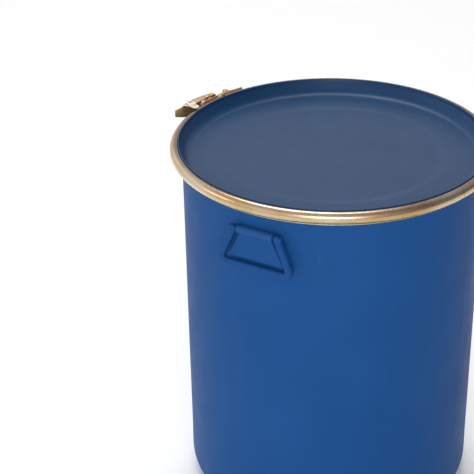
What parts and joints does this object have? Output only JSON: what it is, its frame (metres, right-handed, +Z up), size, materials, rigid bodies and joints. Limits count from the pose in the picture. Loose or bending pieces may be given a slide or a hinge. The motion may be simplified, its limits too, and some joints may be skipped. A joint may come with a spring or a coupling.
{
  "type": "open-head plastic drum",
  "caption": "Open-head blue plastic drum with a recessed lid, a lever-lock steel clamp ring and swing handles on its sides.",
  "frame": {"origin": "centre of the base, on the face the drum stands on", "axes": "+Z up the drum's axis; -Y towards the front handle, +Y towards the back handle; the ring's closure is on the -X side"},
  "size_m": [0.4204, 0.3998, 0.4835],
  "materials": {
    "body_plastic": "satin blow-moulded blue polyethylene",
    "handle_plastic": "satin moulded blue polyethylene",
    "lid_plastic": "satin moulded blue polyethylene",
    "gasket_rubber": "smooth black rubber",
    "zinc_steel": "yellow zinc plated sheet steel",
    "catch_plastic": "cream moulded plastic"
  },
  "bodies": {
    "drum": {"drum_body": "body_plastic"},
    "lid": {"lid": "lid_plastic", "lid_gasket": "gasket_rubber"},
    "ring": {"clamp_ring_lever_half": "zinc_steel", "lever_bracket": "zinc_steel", "bracket_rivet_1": "zinc_steel", "bracket_rivet_2": "zinc_steel", "lever_pivot_upper": "zinc_steel", "lever_pivot_lower": "zinc_steel"},
    "ring_link_end": {"clamp_ring_link_half": "zinc_steel", "link_anchor": "zinc_steel", "anchor_rivet_1": "zinc_steel", "anchor_rivet_2": "zinc_steel", "anchor_pin": "zinc_steel"},
    "lever": {"closing_lever": "zinc_steel", "link_pin": "zinc_steel", "catch_pin": "zinc_steel"},
    "link": {"tension_link": "zinc_steel"},
    "catch": {"safety_catch": "catch_plastic"},
    "front_handle": {"front_handle": "handle_plastic"},
    "back_handle": {"back_handle": "handle_plastic"}
  },
  "joints": [
    {"name": "lid_lift", "type": "slide", "parent": "drum", "child": "lid", "axis": [0, 0, 1], "range_m": [0, 0.12]},
    {"name": "ring_lift", "type": "slide", "parent": "lid", "child": "ring", "axis": [0, 0, 1], "range_m": [0, 0.08], "deforming": ["clamp_ring_lever_half", "clamp_ring_link_half"]},
    {"name": "lever_swing", "type": "hinge", "parent": "ring", "child": "lever", "pos_m": [-0.20109, 0.04353, 0.47], "axis": [0, 0, -1], "range_deg": [0, 120]},
    {"name": "ring_spread", "type": "hinge", "parent": "ring", "child": "ring_link_end", "pos_m": [0.19419, -0.04483, 0.47], "axis": [0, 0, -1], "range_deg": [0, 1.96]},
    {"name": "link_swing", "type": "hinge", "parent": "lever", "child": "link", "pos_m": [-0.20342, 0.03483, 0.47], "axis": [0, 0, 1], "range_deg": [0, 108.3]},
    {"name": "catch_swing", "type": "hinge", "parent": "lever", "child": "catch", "pos_m": [-0.20941, 0.00435, 0.47], "axis": [0, 0, 1], "range_deg": [0, 90]},
    {"name": "front_handle_swing", "type": "hinge", "parent": "drum", "child": "front_handle", "pos_m": [0, -0.19, 0.436], "axis": [-1, 0, 0], "range_deg": [0, 110]},
    {"name": "back_handle_swing", "type": "hinge", "parent": "drum", "child": "back_handle", "pos_m": [0, 0.19, 0.436], "axis": [1, 0, 0], "range_deg": [0, 110]}
  ],
  "couplings": [
    {"joint": "ring_spread", "follows": "lever_swing", "ratio": 0.014824},
    {"joint": "link_swing", "follows": "lever_swing", "ratio": 0.88615}
  ]
}
